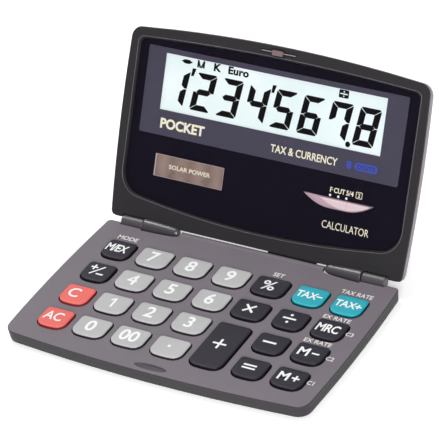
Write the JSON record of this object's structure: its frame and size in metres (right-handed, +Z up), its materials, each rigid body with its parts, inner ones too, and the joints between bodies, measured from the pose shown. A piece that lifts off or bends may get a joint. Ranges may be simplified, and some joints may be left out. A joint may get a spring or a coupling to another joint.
{
  "type": "folding pocket calculator",
  "caption": "Folding pocket calculator: a keyboard leaf with press keys and a hinged display leaf with a liquid-crystal readout, a solar cell and a slide switch.",
  "frame": {"origin": "middle of the keyboard leaf's flat underside", "axes": "+X along the hinge to the right, +Y to the back where the display leaf stands, +Z up out of the key deck"},
  "size_m": [0.0912, 0.0843, 0.0524],
  "materials": {
    "deck_grey": "fine-textured mid grey moulding",
    "shell_dark": "fine-textured dark grey moulding",
    "shell_grey": "fine-textured grey moulding",
    "frame_black": "fine-textured black-grey moulding",
    "key_grey": "satin, white printed legend",
    "key_black": "satin, white printed legend",
    "key_red": "satin, white printed legend",
    "key_teal": "satin, white printed legend",
    "lens_clear": "clear polished acrylic",
    "print_film": "navy-black print with a grey panel round the display",
    "lcd": "pale display glass with black segments",
    "reflector": "satin foil",
    "solar": "brown amorphous cell",
    "circuit_board": "green resist on glass fibre",
    "epoxy": "black epoxy",
    "cell_steel": "brushed",
    "steel": "brushed",
    "brass": "satin",
    "flex_film": "polyimide film",
    "mat_rubber": "matt silicone",
    "knob_pale": "satin pale pink-white"
  },
  "bodies": {
    "keyboard_leaf": {"keyboard_top_cover": "deck_grey", "keyboard_bottom_cover": "shell_dark", "keyboard_screw_1": "steel", "keyboard_screw_2": "steel", "keyboard_screw_3": "steel", "keyboard_screw_4": "steel", "keyboard_circuit_board": "circuit_board", "key_mat": "mat_rubber", "hinge_pin_left": "steel", "hinge_pin_right": "steel", "flex_cable": "flex_film"},
    "display_leaf": {"display_frame": "frame_black", "display_rear_cover": "shell_grey", "display_screw_1": "steel", "display_screw_2": "steel", "display_screw_3": "steel", "display_screw_4": "steel", "window_lens": "lens_clear", "window_print_film": "print_film", "lcd_glass": "lcd", "lcd_reflector": "reflector", "heat_seal_ribbon": "flex_film", "solar_cell": "solar", "main_circuit_board": "circuit_board", "chip_blob": "epoxy", "button_cell": "cell_steel", "cell_clip": "brass", "latch_claw": "frame_black"},
    "switch": {"switch_knob": "knob_pale", "switch_wiper": "brass"},
    "key_mode_body": {"key_mode": "key_black"},
    "key_7_body": {"key_7": "key_grey"},
    "key_8_body": {"key_8": "key_grey"},
    "key_9_body": {"key_9": "key_grey"},
    "key_percent_body": {"key_percent": "key_black"},
    "key_tax_minus_body": {"key_tax_minus": "key_teal"},
    "key_tax_plus_body": {"key_tax_plus": "key_teal"},
    "key_sign_body": {"key_sign": "key_black"},
    "key_4_body": {"key_4": "key_grey"},
    "key_5_body": {"key_5": "key_grey"},
    "key_6_body": {"key_6": "key_grey"},
    "key_multiply_body": {"key_multiply": "key_black"},
    "key_divide_body": {"key_divide": "key_black"},
    "key_mrc_body": {"key_mrc": "key_black"},
    "key_c_body": {"key_c": "key_red"},
    "key_1_body": {"key_1": "key_grey"},
    "key_2_body": {"key_2": "key_grey"},
    "key_3_body": {"key_3": "key_grey"},
    "key_plus_body": {"key_plus": "key_black"},
    "key_minus_body": {"key_minus": "key_black"},
    "key_m_minus_body": {"key_m_minus": "key_black"},
    "key_ac_body": {"key_ac": "key_red"},
    "key_0_body": {"key_0": "key_grey"},
    "key_00_body": {"key_00": "key_grey"},
    "key_point_body": {"key_point": "key_grey"},
    "key_equals_body": {"key_equals": "key_black"},
    "key_m_plus_body": {"key_m_plus": "key_black"}
  },
  "joints": [
    {"name": "display_hinge", "type": "hinge", "parent": "keyboard_leaf", "child": "display_leaf", "pos_m": [0, 0.02803, 0.004], "axis": [1, 0, 0], "range_deg": [-61.5, 118.3], "deforming": ["flex_cable"]},
    {"name": "switch_slide", "type": "slide", "parent": "display_leaf", "child": "switch", "axis": [1, 0, 0], "range_m": [-0.0047, 0]},
    {"name": "key_mode_press", "type": "slide", "parent": "keyboard_leaf", "child": "key_mode_body", "axis": [0, 0, -1], "range_m": [0, 0.0005], "stiffness_N_per_m": 900, "springref_m": -0.0003},
    {"name": "key_7_press", "type": "slide", "parent": "keyboard_leaf", "child": "key_7_body", "axis": [0, 0, -1], "range_m": [0, 0.0005], "stiffness_N_per_m": 900, "springref_m": -0.0003},
    {"name": "key_8_press", "type": "slide", "parent": "keyboard_leaf", "child": "key_8_body", "axis": [0, 0, -1], "range_m": [0, 0.0005], "stiffness_N_per_m": 900, "springref_m": -0.0003},
    {"name": "key_9_press", "type": "slide", "parent": "keyboard_leaf", "child": "key_9_body", "axis": [0, 0, -1], "range_m": [0, 0.0005], "stiffness_N_per_m": 900, "springref_m": -0.0003},
    {"name": "key_percent_press", "type": "slide", "parent": "keyboard_leaf", "child": "key_percent_body", "axis": [0, 0, -1], "range_m": [0, 0.0005], "stiffness_N_per_m": 900, "springref_m": -0.0003},
    {"name": "key_tax_minus_press", "type": "slide", "parent": "keyboard_leaf", "child": "key_tax_minus_body", "axis": [0, 0, -1], "range_m": [0, 0.0005], "stiffness_N_per_m": 900, "springref_m": -0.0003},
    {"name": "key_tax_plus_press", "type": "slide", "parent": "keyboard_leaf", "child": "key_tax_plus_body", "axis": [0, 0, -1], "range_m": [0, 0.0005], "stiffness_N_per_m": 900, "springref_m": -0.0003},
    {"name": "key_sign_press", "type": "slide", "parent": "keyboard_leaf", "child": "key_sign_body", "axis": [0, 0, -1], "range_m": [0, 0.0005], "stiffness_N_per_m": 900, "springref_m": -0.0003},
    {"name": "key_4_press", "type": "slide", "parent": "keyboard_leaf", "child": "key_4_body", "axis": [0, 0, -1], "range_m": [0, 0.0005], "stiffness_N_per_m": 900, "springref_m": -0.0003},
    {"name": "key_5_press", "type": "slide", "parent": "keyboard_leaf", "child": "key_5_body", "axis": [0, 0, -1], "range_m": [0, 0.0005], "stiffness_N_per_m": 900, "springref_m": -0.0003},
    {"name": "key_6_press", "type": "slide", "parent": "keyboard_leaf", "child": "key_6_body", "axis": [0, 0, -1], "range_m": [0, 0.0005], "stiffness_N_per_m": 900, "springref_m": -0.0003},
    {"name": "key_multiply_press", "type": "slide", "parent": "keyboard_leaf", "child": "key_multiply_body", "axis": [0, 0, -1], "range_m": [0, 0.0005], "stiffness_N_per_m": 900, "springref_m": -0.0003},
    {"name": "key_divide_press", "type": "slide", "parent": "keyboard_leaf", "child": "key_divide_body", "axis": [0, 0, -1], "range_m": [0, 0.0005], "stiffness_N_per_m": 900, "springref_m": -0.0003},
    {"name": "key_mrc_press", "type": "slide", "parent": "keyboard_leaf", "child": "key_mrc_body", "axis": [0, 0, -1], "range_m": [0, 0.0005], "stiffness_N_per_m": 900, "springref_m": -0.0003},
    {"name": "key_c_press", "type": "slide", "parent": "keyboard_leaf", "child": "key_c_body", "axis": [0, 0, -1], "range_m": [0, 0.0005], "stiffness_N_per_m": 900, "springref_m": -0.0003},
    {"name": "key_1_press", "type": "slide", "parent": "keyboard_leaf", "child": "key_1_body", "axis": [0, 0, -1], "range_m": [0, 0.0005], "stiffness_N_per_m": 900, "springref_m": -0.0003},
    {"name": "key_2_press", "type": "slide", "parent": "keyboard_leaf", "child": "key_2_body", "axis": [0, 0, -1], "range_m": [0, 0.0005], "stiffness_N_per_m": 900, "springref_m": -0.0003},
    {"name": "key_3_press", "type": "slide", "parent": "keyboard_leaf", "child": "key_3_body", "axis": [0, 0, -1], "range_m": [0, 0.0005], "stiffness_N_per_m": 900, "springref_m": -0.0003},
    {"name": "key_plus_press", "type": "slide", "parent": "keyboard_leaf", "child": "key_plus_body", "axis": [0, 0, -1], "range_m": [0, 0.0005], "stiffness_N_per_m": 900, "springref_m": -0.0003},
    {"name": "key_minus_press", "type": "slide", "parent": "keyboard_leaf", "child": "key_minus_body", "axis": [0, 0, -1], "range_m": [0, 0.0005], "stiffness_N_per_m": 900, "springref_m": -0.0003},
    {"name": "key_m_minus_press", "type": "slide", "parent": "keyboard_leaf", "child": "key_m_minus_body", "axis": [0, 0, -1], "range_m": [0, 0.0005], "stiffness_N_per_m": 900, "springref_m": -0.0003},
    {"name": "key_ac_press", "type": "slide", "parent": "keyboard_leaf", "child": "key_ac_body", "axis": [0, 0, -1], "range_m": [0, 0.0005], "stiffness_N_per_m": 900, "springref_m": -0.0003},
    {"name": "key_0_press", "type": "slide", "parent": "keyboard_leaf", "child": "key_0_body", "axis": [0, 0, -1], "range_m": [0, 0.0005], "stiffness_N_per_m": 900, "springref_m": -0.0003},
    {"name": "key_00_press", "type": "slide", "parent": "keyboard_leaf", "child": "key_00_body", "axis": [0, 0, -1], "range_m": [0, 0.0005], "stiffness_N_per_m": 900, "springref_m": -0.0003},
    {"name": "key_point_press", "type": "slide", "parent": "keyboard_leaf", "child": "key_point_body", "axis": [0, 0, -1], "range_m": [0, 0.0005], "stiffness_N_per_m": 900, "springref_m": -0.0003},
    {"name": "key_equals_press", "type": "slide", "parent": "keyboard_leaf", "child": "key_equals_body", "axis": [0, 0, -1], "range_m": [0, 0.0005], "stiffness_N_per_m": 900, "springref_m": -0.0003},
    {"name": "key_m_plus_press", "type": "slide", "parent": "keyboard_leaf", "child": "key_m_plus_body", "axis": [0, 0, -1], "range_m": [0, 0.0005], "stiffness_N_per_m": 900, "springref_m": -0.0003}
  ]
}
